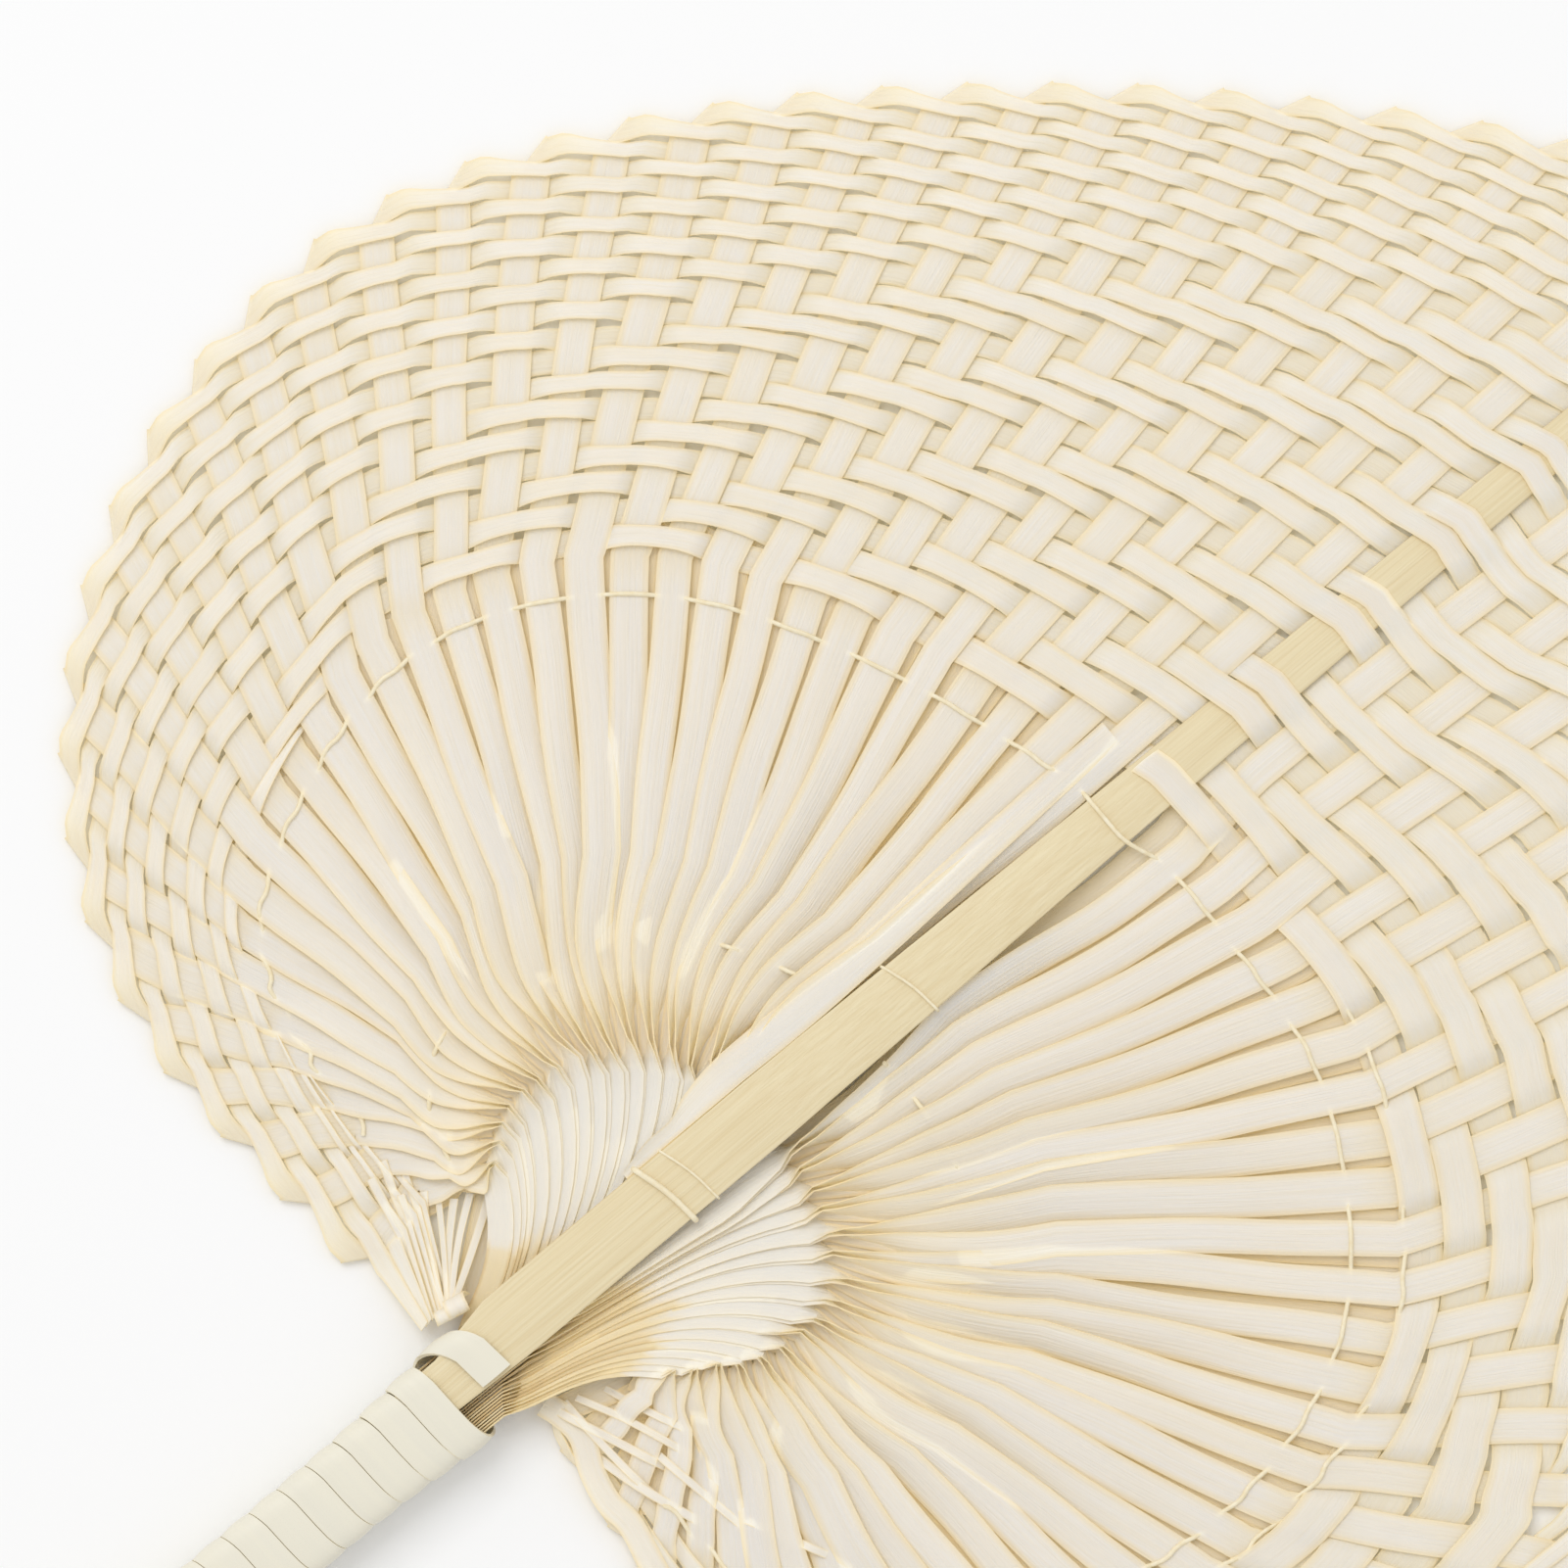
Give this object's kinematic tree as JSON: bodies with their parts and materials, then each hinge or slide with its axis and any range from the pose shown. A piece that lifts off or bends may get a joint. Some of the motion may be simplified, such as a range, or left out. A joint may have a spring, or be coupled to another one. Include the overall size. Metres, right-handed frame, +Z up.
{
  "type": "palm leaf hand fan",
  "caption": "Heart-shaped hand fan plaited from one young fan-palm leaf: flat rib, pleated leaflets, woven band with folded rim, strip-wrapped handle",
  "frame": {"origin": "on the table under the middle of the fan's bounding box, as it lies face up", "axes": "+Y from the handle to the tip, +X to the right of a viewer looking at the face, +Z up out of the face"},
  "size_m": [0.3028, 0.3882, 0.0105],
  "materials": {
    "leaf": "satin dried leaf, cream",
    "rib": "smooth peeled rib, straw",
    "wrap": "satin dried leaf strip, cream",
    "thread": "dry fibre, pale"
  },
  "bodies": {
    "root": {"rib_and_stalk": "rib", "leaflet_left_01": "leaf", "leaflet_left_02": "leaf", "leaflet_left_03": "leaf", "leaflet_left_04": "leaf", "leaflet_left_05": "leaf", "leaflet_left_06": "leaf", "leaflet_left_07": "leaf", "leaflet_left_08": "leaf", "leaflet_left_09": "leaf", "leaflet_left_10": "leaf", "leaflet_left_11": "leaf", "leaflet_left_12": "leaf", "leaflet_left_13": "leaf", "leaflet_left_14": "leaf", "leaflet_left_15": "leaf", "leaflet_left_16": "leaf", "leaflet_right_01": "leaf", "leaflet_right_02": "leaf", "leaflet_right_03": "leaf", "leaflet_right_04": "leaf", "leaflet_right_05": "leaf", "leaflet_right_06": "leaf", "leaflet_right_07": "leaf", "leaflet_right_08": "leaf", "leaflet_right_09": "leaf", "leaflet_right_10": "leaf", "leaflet_right_11": "leaf", "leaflet_right_12": "leaf", "leaflet_right_13": "leaf", "leaflet_right_14": "leaf", "leaflet_right_15": "leaf", "leaflet_right_16": "leaf", "outer_thread": "thread", "inner_thread_left": "thread", "inner_thread_right": "thread", "rib_tie": "thread", "lobe_knot": "leaf", "handle_wrap": "wrap"}
  },
  "joints": []
}
